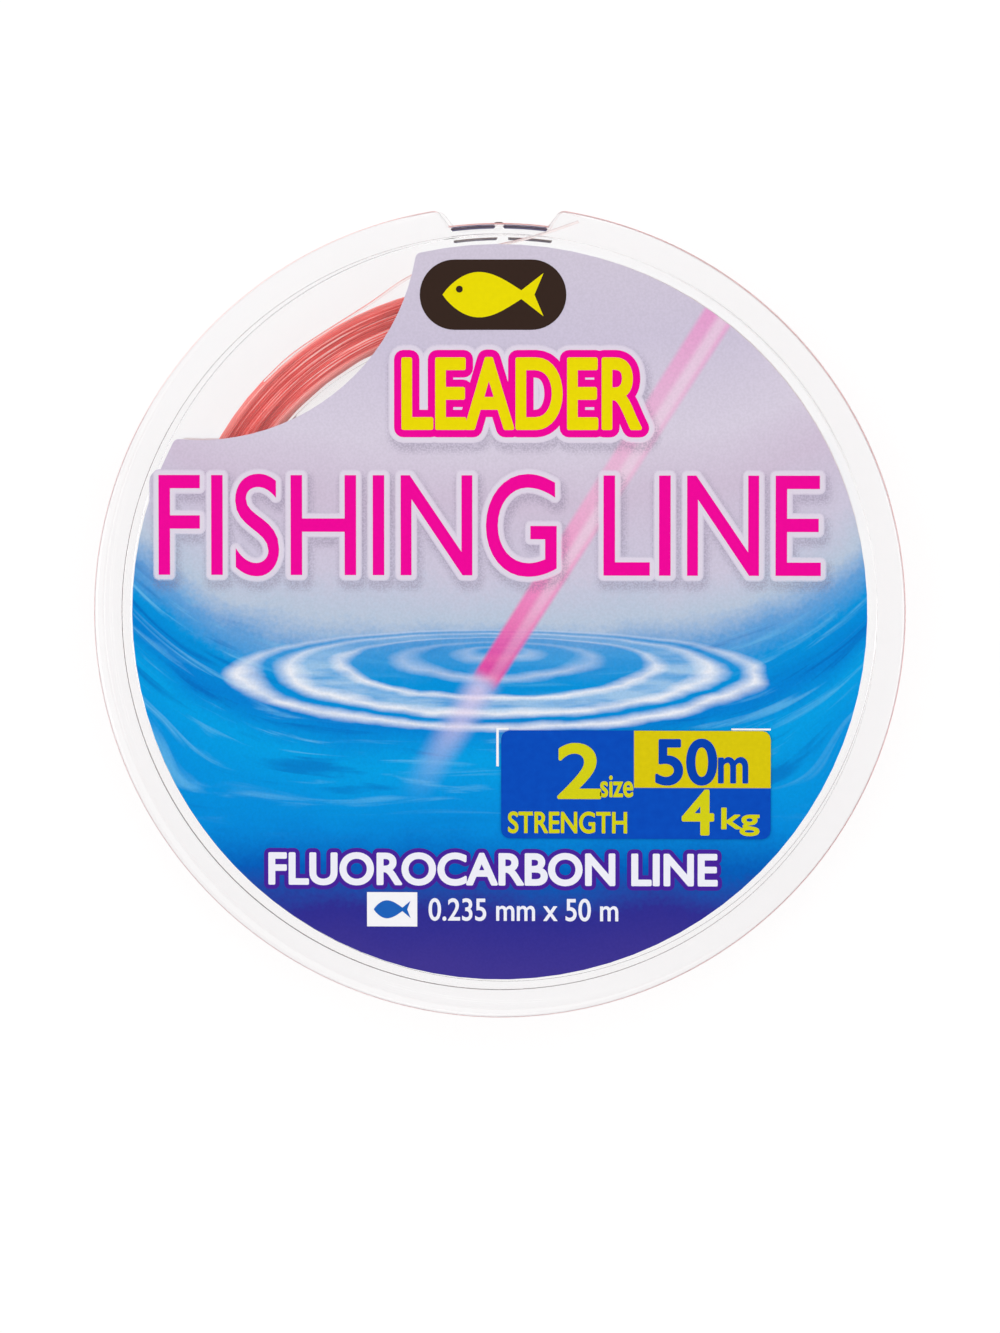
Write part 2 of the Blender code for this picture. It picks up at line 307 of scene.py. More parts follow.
def clear_plastic():
    """Clear moulded polystyrene: flow waves, fine scuffs, and painted dark reflections on the slopes beside
    the notch.
    """
    paint = Paint("clear_polystyrene")
    x, y, z = paint.axes(paint.place())
    radius = paint.length(x, y)
    angle = paint.math("ARCTAN2", y, x)
    flow = paint.noise(paint.vector(paint.times(radius, 0.25), paint.times(angle, 1.5), z), 1.0, 1.0)
    scuffs = paint.noise(paint.vector(paint.times(x, 0.4), paint.times(y, 5.0), z), 1.0, 4.0)
    paint.principled(
        Base_Color=(0.995, 0.993, 0.996, 1.0),
        Roughness=paint.ease(scuffs, 0.55, 0.8, 0.0, 0.08),
        IOR=1.59,
        Transmission_Weight=1.0,
    )
    paint.bump(flow, 0.25, 0.02 * MM)
    # Painted dark reflections on the front notch's chamfer and on the rear groove's slope
    painted_dark_reflection(paint, radius, z, NOTCH_FLOOR_RADIUS, FRONT_INSIDE, FRONT_NOTCH_CHAMFER)
    painted_dark_reflection(paint, radius, z, GROOVE_RADIUS, REAR_INSIDE - PLATE_THICKNESS, GROOVE_DEPTH)
    let_light_through(paint, (0.985, 0.985, 0.985, 1.0))
    return paint.material


def let_light_through(paint, colour):
    """Let shadow and diffuse rays pass straight through, with a tint."""
    path = paint.node("ShaderNodeLightPath").outputs
    straight = paint.math("MAXIMUM", path["Is Shadow Ray"], path["Is Diffuse Ray"])
    through = paint.node("ShaderNodeBsdfTransparent", {"Color": colour})
    paint.blend_shader(straight, through.outputs[0])


def painted_dark_reflection(paint, radius, z, outer, foot, size):
    """Paint a dark reflection on the sloping face that lies inside an outer radius and above a foot.

    Such a face mirrors what is dark beside the camera, which this studio hasn't
    got, so a dark diffuse colour is painted on it in place of that reflection.
    size is both its width and its height. It goes from brown to blue inwards.
    """
    outer = outer / MM
    inner = outer - size / MM
    edge = 0.01
    within = paint.times(
        paint.ease(radius, inner - edge, inner + edge),
        paint.ease(radius, outer + edge, outer + 2 * edge, 1.0, 0.0),
        paint.band(z, foot / MM, foot / MM + size / MM, edge),
    )
    share = paint.math("DIVIDE", paint.add(outer, paint.times(radius, -1.0)), outer - inner)
    colour = paint.ramp(share, [
        (0.0, srgb(120, 84, 76)),
        (0.3, srgb(66, 48, 62)),
        (0.7, srgb(66, 50, 74)),
        (1.0, srgb(96, 92, 150)),
    ])
    # Painted reflection: a dark diffuse colour over the slope, in place of what it would mirror
    dark = paint.node("ShaderNodeBsdfDiffuse", {"Color": colour})
    paint.blend_shader(paint.times(within, 0.9), dark.outputs[0])


def line_streaks(paint):
    """Fine and broad streaks that follow the turns, each from 0 to 1, and the radius."""
    x, y, z = paint.axes(paint.place())
    radius = paint.length(x, y)
    angle = paint.math("ARCTAN2", y, x)
    strands = paint.vector(paint.times(radius, 9.0), paint.times(angle, 2.2), paint.times(z, 9.0))
    bundles = paint.vector(paint.times(radius, 0.8), paint.times(angle, 2.2), paint.times(z, 0.7))
    return paint.noise(strands, 1.0, 2.0), paint.noise(bundles, 1.0, 2.0, 0.4), radius


def wound_line():
    """Coral pink fluorocarbon: glossy, a little translucent, with streaks along the turns.

    The palest streaks are painted highlights, the outermost and innermost turns are
    painted lighter, and the line has a painted glow of its own colour.
    """
    paint = Paint("wound_line")
    fine, broad, radius = line_streaks(paint)
    streaks = paint.add(paint.times(fine, 0.8), paint.times(broad, 0.2))
    # The streaks are the line's own uneven tone, and the palest, near white, are painted highlights on the
    # strands
    body = paint.ramp(streaks, [
        (0.36, srgb(192, 46, 38)),
        (0.44, srgb(224, 70, 62)),
        (0.50, srgb(238, 88, 80)),
        (0.55, srgb(255, 136, 128)),
        (0.60, srgb(255, 220, 214)),
    ])
    # Painted light: the outermost turns are lighter, as if lit through fewer strands, and the innermost
    # ones lighter, where light shows between loose strands over their shade
    outer_painted_light = paint.ease(radius, 26.1, 26.8, 0.0, 0.5)
    body = paint.mix(outer_painted_light, body, srgb(255, 196, 190))
    inner_painted_light = paint.ease(radius, 24.1, 23.5, 0.0, 0.6)
    body = paint.mix(inner_painted_light, body, srgb(255, 206, 200))
    paint.principled(
        Base_Color=body,
        Roughness=paint.ease(fine, 0.3, 0.7, 0.10, 0.25),
        IOR=1.5,
        # Painted glow: the line emits its own colour, though it is no lamp
        Emission_Color=body,
        Emission_Strength=LINE_GLOW,
    )
    paint.bump(paint.noise(paint.place(), 9.0, 2.0), 0.15, 0.01 * MM)
    glow = paint.node("ShaderNodeBsdfTranslucent", {"Color": body})
    paint.blend_shader(0.4, glow.outputs[0])
    shadow = paint.node("ShaderNodeLightPath").outputs["Is Shadow Ray"]
    through = paint.node("ShaderNodeBsdfTransparent", {"Color": srgb(255, 214, 210)})
    paint.blend_shader(paint.times(shadow, 0.7), through.outputs[0])
    return paint.material


def free_line():
    """One bare strand of the same line, which is nearly clear on its own."""
    paint = Paint("free_line")
    fine = line_streaks(paint)[0]
    tint = paint.mix(fine, srgb(254, 240, 238), srgb(255, 250, 249))
    paint.principled(Base_Color=tint, Roughness=0.03, IOR=1.42, Transmission_Weight=0.97)
    let_light_through(paint, srgb(254, 242, 241))
    return paint.material


def front_label_print(name="front_label_print", veil=None, share=0.0):
    """The front label: a pale sky over water with plain ripples, and one pink strand.

    With a veil, that colour covers a share of the picture, a little unevenly.
    """
    paint = Paint(name)
    place = paint.place()
    x, y, z = paint.axes(place)
    bow = paint.times(paint.math("POWER", paint.math("ABSOLUTE", x), 4.0), WATER_BOW)
    bow = paint.times(bow, paint.ease(y, -18.0, -8.0))
    soft = paint.times(paint.add(paint.noise(place, 0.12, 3.0), -0.5), 4.0)
    speckle = paint.times(paint.add(paint.noise(place, 2.4, 4.0), -0.5), 1.6)
    level = paint.add(paint.add(y, bow), paint.add(soft, speckle))
    colour = paint.ramp(level, [
        (-29.0, srgb(64, 54, 146)),
        (-24.5, srgb(48, 46, 146)),
        (-21.0, srgb(0, 92, 186)),
        (-17.5, srgb(0, 138, 220)),
        (-12.0, srgb(0, 160, 230)),
        (-9.0, srgb(0, 128, 212)),
        (-6.0, srgb(0, 148, 222)),
        (-3.2, srgb(104, 162, 218)),
        (-0.6, srgb(188, 202, 222)),
        (3.0, srgb(208, 202, 222)),
        (9.0, srgb(210, 195, 216)),
        (14.0, srgb(218, 209, 226)),
        (22.0, srgb(208, 199, 220)),
        (29.5, srgb(212, 203, 220)),
    ], -30.0, 30.0)
    colour = water_streaks(paint, colour, x, y, paint.add(y, bow))
    colour = ripples(paint, colour, x, y)
    colour = pink_strand(paint, colour, x, y)
    grain = paint.noise(place, 5.0, 3.0)
    colour = paint.mix(paint.ease(grain, 0.3, 0.7, 0.0, 0.07), colour, BLACK)
    middle = (LABEL_LOW.z + LABEL_HIGH.z) / 2 / MM
    colour = paint.mix(paint.ease(z, middle - 0.01, middle, 1.0, 0.0), colour, srgb(232, 231, 234))
    if veil:
        uneven = paint.ease(paint.noise(place, 7.0, 1.0), 0.35, 0.65, 1.0 - VEIL_GRAIN * (1 - share), 1.0)
        colour = paint.mix(paint.times(uneven, share), colour, veil)
    paint.principled(Base_Color=colour, Roughness=0.42, Specular_IOR_Level=0.04)
    paint.bump(paint.noise(place, 1.2, 4.0), 0.12, 0.02 * MM)
    return paint.material


def water_streaks(paint, colour, x, y, level):
    """Long, flat light and dark streaks across the water."""
    waves = paint.noise(paint.vector(paint.times(x, 0.10), paint.times(level, 0.95), 3.0), 1.0, 4.0, 0.6)
    depth = paint.times(paint.ease(y, -19.0, -12.0), paint.ease(level, -5.0, -1.0, 1.0, 0.0))
    light = paint.times(paint.ease(waves, 0.54, 0.74, 0.0, 0.50), depth)
    dark = paint.times(paint.ease(waves, 0.45, 0.30, 0.0, 0.55), depth)
    colour = paint.mix(light, colour, srgb(130, 208, 244))
    return paint.mix(dark, colour, srgb(0, 96, 184))


def ripples(paint, colour, x, y):
    """Rings on the water, seen at a low angle."""
    along = paint.add(x, -RIPPLE_CENTRE[0])
    wobble = paint.noise(paint.vector(paint.times(x, 0.22), paint.times(y, 0.5), 0.0), 1.0, 3.0)
    across = paint.times(paint.add(y, -RIPPLE_CENTRE[1]), RIPPLE_FLATNESS)
    across = paint.add(across, paint.times(paint.length(along, across), RIPPLE_NEARNESS))
    reach = paint.add(paint.length(along, across), paint.times(paint.add(wobble, -0.5), 2.6))
    stops = [(0.0, BLACK)]
    for ring, half_width, strength in RIPPLES:
        stops.append((ring - half_width, BLACK))
        stops.append((ring, (strength, strength, strength, 1.0)))
        stops.append((ring + half_width, BLACK))
    white = paint.axes(paint.ramp(reach, stops, 0.0, 30.0))[0]
    strokes = paint.vector(paint.times(x, 0.16), paint.times(y, 1.1), 7.0)
    patches = paint.ease(paint.noise(strokes, 1.0, 4.0), 0.32, 0.62)
    near = paint.ease(y, -2.2, -5.0, 0.35, 1.0)
    white = paint.times(white, near, paint.add(paint.times(patches, 0.25), 0.75))
    pale = paint.band(reach, 12.5, 17.0, 1.0)
    pale = paint.times(pale, near, paint.add(paint.times(patches, 0.5), 0.15))
    trough = paint.ease(reach, 19.0, 23.0, 1.0, 0.0)
    colour = paint.mix(paint.times(trough, 0.6), colour, srgb(0, 146, 220))
    colour = paint.mix(pale, colour, srgb(196, 222, 242))
    return paint.mix(white, colour, srgb(240, 242, 250))


def pink_strand(paint, colour, x, y):
    """A slanted strand that meets the water in the middle of the ripples."""
    start, end = STRAND_PICTURE
    run = (Vector(end) - Vector(start)).length
    slope = (Vector(end) - Vector(start)) / run
    right = paint.add(x, -start[0])
    up = paint.add(y, -start[1])
    along = paint.add(paint.times(right, slope.x), paint.times(up, slope.y))
    across = paint.add(paint.times(up, slope.x), paint.times(right, -slope.y))
    share = paint.math("DIVIDE", along, run)
    half_width = paint.add(paint.times(share, -0.22), 1.38)
    side = paint.math("DIVIDE", across, half_width)
    edge = paint.math("ABSOLUTE", side)
    inside = paint.ease(edge, 0.72, 1.08, 1.0, 0.0)
    start_end = paint.ease(share, -0.01, 0.02)
    water_end = paint.ease(share, 0.99, 1.03, 1.0, 0.0)
    body = paint.ramp(share, [
        (0.0, srgb(236, 150, 206)),
        (0.25, srgb(236, 176, 214)),
        (0.5, srgb(240, 184, 216)),
        (0.8, srgb(246, 120, 188)),
        (1.0, srgb(240, 40, 150)),
    ])
    streak = paint.math("ABSOLUTE", paint.add(side, -0.35))
    streak = paint.times(paint.ease(streak, 0.60, 0.10, 0.0, 0.60), paint.ease(share, 1.0, 0.6, 0.3, 1.0))
    body = paint.mix(streak, body, srgb(240, 226, 238))
    colour = paint.mix(paint.times(inside, start_end, water_end, 0.85), colour, body)
    glow = paint.times(paint.ease(edge, 1.6, 0.0), paint.ease(share, 1.34, 1.0))
    glow = paint.times(glow, paint.ease(share, 0.98, 1.04, 0.0, 0.7))
    return paint.mix(glow, colour, srgb(236, 214, 240))


def sticker_print():
    """The sticker: blue, with a yellow box at its upper right."""
    paint = Paint("sticker_print")
    place = paint.place()
    x, y, _ = paint.axes(place)
    blue = paint.mix(paint.noise(place, 1.5, 3.0), srgb(0, 66, 178), srgb(4, 82, 194))
    yellow = paint.mix(paint.noise(place, 2.5, 3.0), srgb(208, 190, 4), srgb(224, 206, 10))
    right = paint.ease(x, YELLOW_LEFT / MM - 0.04, YELLOW_LEFT / MM + 0.04)
    upper = paint.ease(y, YELLOW_FOOT / MM - 0.04, YELLOW_FOOT / MM + 0.04)
    colour = paint.mix(paint.times(right, upper), blue, yellow)
    paint.principled(Base_Color=colour, Roughness=0.5, Specular_IOR_Level=0.05)
    paint.bump(paint.noise(place, 3.0, 4.0), 0.2, 0.01 * MM)
    return paint.material


def rear_label_print():
    """The rear label: white paper, with a plain blue band and ruled lines on its outer face."""
    paint = Paint("rear_label_print")
    place = paint.place()
    x, y, z = paint.axes(place)
    fibres = paint.noise(place, 2.2, 5.0)
    colour = paint.mix(fibres, srgb(228, 229, 232), srgb(240, 240, 242))
    middle = (REAR_LABEL_LOW.z + REAR_LABEL_HIGH.z) / 2 / MM
    outer = paint.ease(z, middle, middle + 0.01, 1.0, 0.0)
    colour = paint.mix(paint.times(paint.band(y, 6.9, 14.0, 0.1), outer), colour, srgb(24, 96, 178))
    rows = paint.math("PINGPONG", y, 1.2)
    area = paint.times(paint.band(x, -16.1, 16.0, 0.1), paint.band(y, -17.1, 3.0, 0.1))
    ruled = paint.times(paint.ease(rows, 0.20, 0.10), area, outer)
    row = paint.math("FLOOR", paint.times(y, 0.42))
    words = paint.noise(paint.vector(paint.times(x, 1.1), row, 0.0), 1.0, 0.0)
    words = paint.ease(words, 0.42, 0.45, 0.0, 0.75)
    colour = paint.mix(paint.times(ruled, words), colour, srgb(84, 88, 100))
    paint.principled(Base_Color=colour, Roughness=0.45, Coat_Weight=0.1)
    paint.bump(fibres, 0.15, 0.01 * MM)
    return paint.material


def tape_material():
    """Thin clear tape with a matt, slightly yellow face."""
    paint = Paint("clear_tape")
    place = paint.place()
    haze = paint.noise(place, 4.0, 4.0)
    paint.principled(
        Base_Color=paint.mix(haze, srgb(244, 240, 226), srgb(250, 248, 240)),
        Roughness=paint.ease(haze, 0.3, 0.7, 0.2, 0.45),
        Transmission_Weight=0.8,
    )
    paint.bump(haze, 0.1, 0.01 * MM)
    return paint.material


def ink(name, colour, shade=0.9):
    """Printing ink: one colour, uneven by a few hundredths, with a satin surface."""
    paint = Paint(name)
    place = paint.place()
    darker = (colour[0] * shade, colour[1] * shade, colour[2] * shade, 1.0)
    mottled = paint.mix(paint.noise(place, 3.0, 4.0), darker, colour)
    paint.principled(Base_Color=mottled, Roughness=0.4, Specular_IOR_Level=0.05)
    paint.bump(paint.noise(place, 6.0, 3.0), 0.1, 0.01 * MM)
    return paint.material


# ---- mesh helpers


def add_piece(name, points, faces, material, slot, *replaced):
    """A new piece on the object, from points in metres, with its faces turned outwards."""
    mesh = bpy.data.meshes.new(name)
    mesh.from_pydata(points, [], faces)
    solid = bmesh.new()
    solid.from_mesh(mesh)
    bmesh.ops.recalc_face_normals(solid, faces=solid.faces)
    solid.to_mesh(mesh)
    solid.free()
    return place_piece(name, mesh, material, slot, *replaced)


def place_piece(name, mesh, material, slot, *replaced):
    mesh.materials.clear()
    mesh.materials.append(material)
    mesh.shade_smooth()
    mesh.set_sharp_from_angle(angle=math.radians(40))
    piece = bpy.data.objects.new(name, mesh)
    bpy.context.scene.collection.objects.link(piece)
    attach(piece, "root")
    if replaced:
        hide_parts(*replaced)
    return piece


def ease(value, low, high):
    """0 below low, 1 above high, and smooth between them."""
    share = np.clip((value - low) / (high - low), 0, 1)
    return share * share * (3 - 2 * share)


def unit(vectors):
    """The vectors, each at length 1."""
    return vectors / np.linalg.norm(vectors, axis=-1, keepdims=True)


def angle_of(vector):
    return math.atan2(vector[1], vector[0])


def around(centre, radius, start, end, steps):
    """Points along an arc, and the directions from its centre to them."""
    angles = np.linspace(start, end, steps + 1)
    away = np.stack([np.cos(angles), np.sin(angles)], axis=1)
    return np.array(centre) + radius * away, away


def ring_quads(rings, sides):
    """The faces that join each ring of points to the next one."""
    corner = np.arange(sides)
    start = np.arange(rings - 1)[:, None] * sides
    first = start + corner
    second = start + (corner + 1) % sides
    return np.stack([first, second, second + sides, first + sides], axis=-1).reshape(-1, 4).tolist()


def slide_to(base, direction, reach):
    """The point on the line from base that lies that far from the axis."""
    along = base @ direction
    return base + (math.sqrt(along**2 - base @ base + reach**2) - along) * direction


# ---- clear mouldings


def notched_outline():
    """A flange's outline as points, and at each the direction into the plastic."""
    half = NOTCH_HALF_ANGLE
    corner = NOTCH_FLOOR_RADIUS * np.array([math.sin(half), math.cos(half)])
    side = np.array([math.cos(NOTCH_SIDE_SLOPE), math.sin(NOTCH_SIDE_SLOPE)])
    inwards = np.array([side[1], -side[0]])
    fillet_base = corner - NOTCH_CORNER_ROUND * inwards
    fillet = slide_to(fillet_base, side, NOTCH_FLOOR_RADIUS + NOTCH_CORNER_ROUND)
    shoulder_base = corner + NOTCH_SHOULDER_ROUND * inwards
    shoulder = slide_to(shoulder_base, side, RIM_RADIUS - NOTCH_SHOULDER_ROUND)

    floor, floor_away = around((0, 0), NOTCH_FLOOR_RADIUS, math.pi / 2, angle_of(fillet), 36)
    hollow, hollow_away = around(fillet, NOTCH_CORNER_ROUND, angle_of(-fillet), angle_of(inwards), 6)
    round_, round_away = around(shoulder, NOTCH_SHOULDER_ROUND, angle_of(-inwards), angle_of(shoulder), 14)
    rim, rim_away = around((0, 0), RIM_RADIUS, angle_of(shoulder), -math.pi / 2, 200)
    straight = np.linspace(hollow[-1], round_[0], 9)[1:-1]
    straight_in = np.tile(inwards, (len(straight), 1))

    right = np.concatenate([floor[:-1], hollow, straight, round_, rim[1:]])
    right_in = np.concatenate([-floor_away[:-1], hollow_away, straight_in, -round_away, -rim_away[1:]])
    mirror = np.array([-1.0, 1.0])
    points = np.concatenate([right, right[-2:0:-1] * mirror])
    normals = np.concatenate([right_in, right_in[-2:0:-1] * mirror])
    return points, normals


def rounded_path(corners, radius, steps=4):
    """(radius, height) points through the corners, each inner corner rounded."""
    path = [corners[0]]
    for before, corner, after in zip(corners, corners[1:], corners[2:]):
        corner = np.array(corner)
        incoming = unit(np.array(before) - corner)
        outgoing = unit(np.array(after) - corner)
        half = math.acos(np.clip(incoming @ outgoing, -1, 1)) / 2
        reach = radius / math.tan(half)
        middle = corner + unit(incoming + outgoing) * radius / math.sin(half)
        first = corner + incoming * reach
        last = corner + outgoing * reach
        turn = math.pi - 2 * half
        path.append(tuple(first + incoming * HOLDING_EDGE))
        for step in range(steps + 1):
            share = math.sin(turn * (1 - step / steps)) / math.sin(turn)
            other = math.sin(turn * step / steps) / math.sin(turn)
            path.append(tuple(middle + (first - middle) * share + (last - middle) * other))
        path.append(tuple(last + outgoing * HOLDING_EDGE))
    path.append(corners[-1])
    return path


def edge_profile(chamfered, size):
    """Nine steps round an edge, as (offset, drop) for every point of the outline.

    Offset is measured into the plastic from the outline and drop from the face.
    Where chamfered is 0 the edge is round, and where it is 1 a flat of that size.
    """
    for step in range(9):
        share = step / 8
        turn = math.pi / 2 * share
        round_ = RIM_EDGE_ROUND * (1 - chamfered)
        flat = size * chamfered
        offset = round_ * (1 - math.sin(turn)) + flat * (1 - share)
        drop = round_ * (1 - math.cos(turn)) + flat * share
        yield offset, drop


def along_notch(points, ends, middle):
    """1 along the notch's floor, and 0 past its ends and at its middle.

    It fades over ends, in degrees past the notch's half angle, and middle, in metres.
    """
    x = np.abs(points[:, 0])
    past = np.degrees(np.arctan2(x, points[:, 1])) - math.degrees(NOTCH_HALF_ANGLE)
    return (1 - ease(past, *ends)) * ease(x, *middle)


def rim_rings(points, normals, chamfer):
    """The rim's rings, from its outer face round its edge to the inside face.

    Each is (places, heights) for every point of the outline. Heights are
    measured outwards from the flange's inside face. The chamfer is on the
    inside edge, along the notch's floor, on each side of the gate's stub.
    """
    beside_stub = (GATE_STUB_HALF_WIDTH - 0.12 * MM, GATE_STUB_HALF_WIDTH + 0.06 * MM)
    chamfered = along_notch(points, (-0.35, -0.05), beside_stub)
    x = np.abs(points[:, 0])
    stub = (1 - ease(x, GATE_STUB_HALF_TOP, GATE_STUB_HALF_WIDTH)) * (points[:, 1] > 0) * GATE_STUB_HEIGHT
    rings = []

    def ring(offset, height):
        heights = np.broadcast_to(height, len(points))
        rings.append((points + normals * np.reshape(offset, (-1, 1)), heights))

    outer = list(edge_profile(0.0, 0.0))
    inner = list(edge_profile(chamfered * (chamfer > 0), chamfer))
    ring(outer[0][0] + HOLDING_EDGE, RIM_THICKNESS)
    for offset, drop in outer:
        ring(offset, RIM_THICKNESS - drop)
    ring(-stub, RIM_THICKNESS - outer[-1][1] - HOLDING_EDGE)
    ring(-stub, inner[-1][1] + HOLDING_EDGE)
    for offset, drop in reversed(inner):
        ring(offset, drop)
    ring(inner[0][0] + HOLDING_EDGE, 0.0)
    return rings


def notch_groove(points, round_way, groove_depth):
    """A shallow saw-tooth groove in the outer face, which runs along the notch."""
    beside_bridge = (GROOVE_BRIDGE_HALF_WIDTH - 0.1 * MM, GROOVE_BRIDGE_HALF_WIDTH + 0.05 * MM)
    depth = along_notch(points, (-0.1, 0.3), beside_bridge) * groove_depth
    level = np.full(len(points), PLATE_THICKNESS)
    steps = [
        (GROOVE_RADIUS - groove_depth - 0.03 * MM, level),
        (GROOVE_RADIUS - groove_depth, level),
        (GROOVE_RADIUS, level - depth),
        (GROOVE_RADIUS + 0.02 * MM, level),
        (GROOVE_RADIUS + 0.04 * MM, level),
    ]
    return [(round_way * radius, height) for radius, height in steps]


def flange(inside, outwards, chamfer, groove_depth, drum_path):
    """One half of the spool: its plate and rim, and its part of the drum.

    inside is the height of its inside face, outwards the way it faces,
    chamfer the size of the notch's chamfer, and groove_depth the depth of
    the groove behind the notch.
    """
    points, normals = notched_outline()
    rim = rim_rings(points, normals, chamfer)
    bearing = np.arctan2(points[:, 1], points[:, 0])
    round_way = np.stack([np.cos(bearing), np.sin(bearing)], axis=1)

    def circles(path):
        return [(round_way * radius, np.full(len(points), height)) for radius, height in path]

    slope = [
        (RIM_INNER_RADIUS - 0.15 * MM, PLATE_THICKNESS),
        (RIM_INNER_RADIUS, PLATE_THICKNESS),
        (RIM_INNER_RADIUS + RIM_INNER_SLOPE, RIM_THICKNESS),
        (RIM_INNER_RADIUS + RIM_INNER_SLOPE + 0.15 * MM, RIM_THICKNESS),
    ]
    rings = circles([(PLATE_RINGS[0], PLATE_THICKNESS)])
    rings += notch_groove(points, round_way, groove_depth)
    rings += circles(rounded_path(slope, SMALL_ROUND)[:-1])
    rings += rim
    rings += circles(rounded_path(drum_path, SMALL_ROUND)[1:])

    count = len(points)
    vertices = [np.column_stack([places, inside + outwards * heights]) for places, heights in rings]
    first_pole = [0, 0, inside + outwards * PLATE_THICKNESS]
    last_pole = [0, 0, inside + outwards * drum_path[-1][1]]
    vertices = np.concatenate([*vertices, [first_pole, last_pole]])

    faces = ring_quads(len(rings), count)
    last = (len(rings) - 1) * count
    for i in range(count):
        j = (i + 1) % count
        faces.append((i, j, len(vertices) - 2))
        faces.append((last + i, last + j, len(vertices) - 1))
    return vertices.tolist(), faces


def drum_tube(outside, end):
    """A plate's inside face with a tube of the drum on it, as (radius, height) points."""
    bore = outside - DRUM_WALL
    return [(PLATE_RINGS[1], 0), (outside, 0), (outside, end), (bore, end), (bore, 0), (PLATE_RINGS[0], 0)]


def make_halves():
    plastic = clear_plastic()
    wall = drum_tube(DRUM_RADIUS, JOINT_GAP - (FRONT_INSIDE - REAR_INSIDE))
    spigot = drum_tube(DRUM_RADIUS - DRUM_WALL - JOINT_GAP, -SPIGOT_LENGTH)
    rear = flange(REAR_INSIDE, -1, 0.0, GROOVE_DEPTH, wall)
    front = flange(FRONT_INSIDE, 1, FRONT_NOTCH_CHAMFER, 0.0, spigot)
    add_piece("rear_flange_and_drum", *rear, plastic, "clear_plastic", "rear_half")
    add_piece("front_flange", *front, plastic, "clear_plastic", "front_half")


# ---- the line


def wander(rng, count, reach):
    """Seeded smooth noise along the line, mostly between -1 and 1."""
    kernel = np.exp(-0.5 * (np.arange(-3 * reach, 3 * reach + 1) / reach) ** 2)
    noise = np.convolve(rng.normal(size=count + len(kernel) - 1), kernel, "valid")
    return noise / noise.std() / 1.6


def winding():
    """The wound line's centre as (angle, radius, height), and the layer at each point.

    It runs from the drum outwards and ends where the free end starts. All but
    the last layer lie turn beside turn. The last one crosses the winding in
    a few long sweeps.
    """
    rng = np.random.default_rng(7)
    low = COIL_LOW.z + LINE_RADIUS
    high = COIL_HIGH.z - LINE_RADIUS
    radii = np.linspace(COIL_INNER_RADIUS + LINE_RADIUS, COIL_HIGH.x - LINE_RADIUS, LAYERS)
    turns = (LINE_LENGTH - TAIL_LENGTH) / (2 * math.pi * radii.sum())
    total = turns * LAYERS
    count = round(total * POINTS_PER_TURN)
    turn = np.linspace(0, total, count + 1)
    layer = np.clip((turn / turns).astype(int), 0, LAYERS - 1)
    share = turn / turns - layer

    sweep = np.where(layer % 2 == 0, share, 1 - share)
    crossing = 1 - np.abs((share * LAST_SWEEPS) % 2 - 1)
    last = layer == LAYERS - 1
    sweep = np.where(last, 1 - crossing, sweep)
    next_radii = np.append(radii[1:], radii[-1])
    climb = ease(share * turns, turns - 0.6, turns)
    radius = radii[layer] + (next_radii[layer] - radii[layer]) * climb

    angle = TAIL_START_ANGLE + 2 * math.pi * (total - turn)
    lay = wander(rng, LAYERS, 1)[layer]
    together = np.sin(angle + 2.1 * layer) + 0.6 * np.sin(2 * angle + 1.3 * layer + lay)
    loose = np.where(layer >= LAYERS - 2, 2.2, 1.0)
    height = low + (high - low) * sweep
    height = height + HEIGHT_SWAY * together
    height = height + HEIGHT_STRAY * loose * wander(rng, count + 1, POINTS_PER_TURN // 7)
    radius = radius + RADIUS_STRAY * wander(rng, count + 1, POINTS_PER_TURN // 6)
    radius = radius + RADIUS_SWAY * np.sin(angle + 0.9 * layer)
    height = np.clip(height, low, high)
    radius = np.clip(radius, radii[0], radii[-1])

    leaving = ease(turn, total - 0.12, total)
    start = Vector(TAIL_ROUTE[0])
    radius = radius + (math.hypot(start.x, start.y) - radius) * leaving
    height = height + (start.z - height) * ease(turn, total - 0.6, total)
    return angle, radius, height, layer


def tube(path, radius, sides):
    """A closed tube along a nearly level path, as points and faces."""
    forward = unit(np.gradient(path, axis=0))
    side = unit(np.cross(forward, [0.0, 0.0, 1.0]))
    up = np.cross(side, forward)
    turn = 2 * math.pi * (np.arange(sides)[None, :, None] + 0.5) / sides
    ring = np.cos(turn) * side[:, None, :] + np.sin(turn) * up[:, None, :]
    points = (path[:, None, :] + radius * ring).reshape(-1, 3)
    faces = ring_quads(len(path), sides)
    numbers = list(range(len(points)))
    faces += [numbers[:sides], numbers[-sides:]]
    return points.tolist(), faces


def make_winding():
    """The wound line, with every other point left out where the outer layers hide it."""
    angle, radius, height, layer = winding()
    path = np.stack([radius * np.cos(angle), radius * np.sin(angle), height], axis=1)
    middle = (COIL_LOW.z + COIL_HIGH.z) / 2
    hidden = (np.abs(height - middle) < SHOWING_HEIGHT) & (np.arange(len(path)) % 2 == 1)
    switch = int((layer < OUTER_LAYERS_FROM).sum())
    inner = tube(path[: switch + 1][~hidden[: switch + 1]], LINE_RADIUS, 5)
    outer = tube(path[switch:], LINE_RADIUS, 6)
    material = wound_line()
    add_piece("line_inner_layers", *inner, material, "line", "line_coil")
    add_piece("line_outer_layers", *outer, material, "line", "line_coil")


def catmull_rom(before, start, end, after, share):
    """A point between start and end on a smooth curve through all four."""
    return 0.5 * (
        2 * start
        + (end - before) * share
        + (2 * before - 5 * start + 4 * end - after) * share**2
        + (3 * start - before - 3 * end + after) * share**3
    )


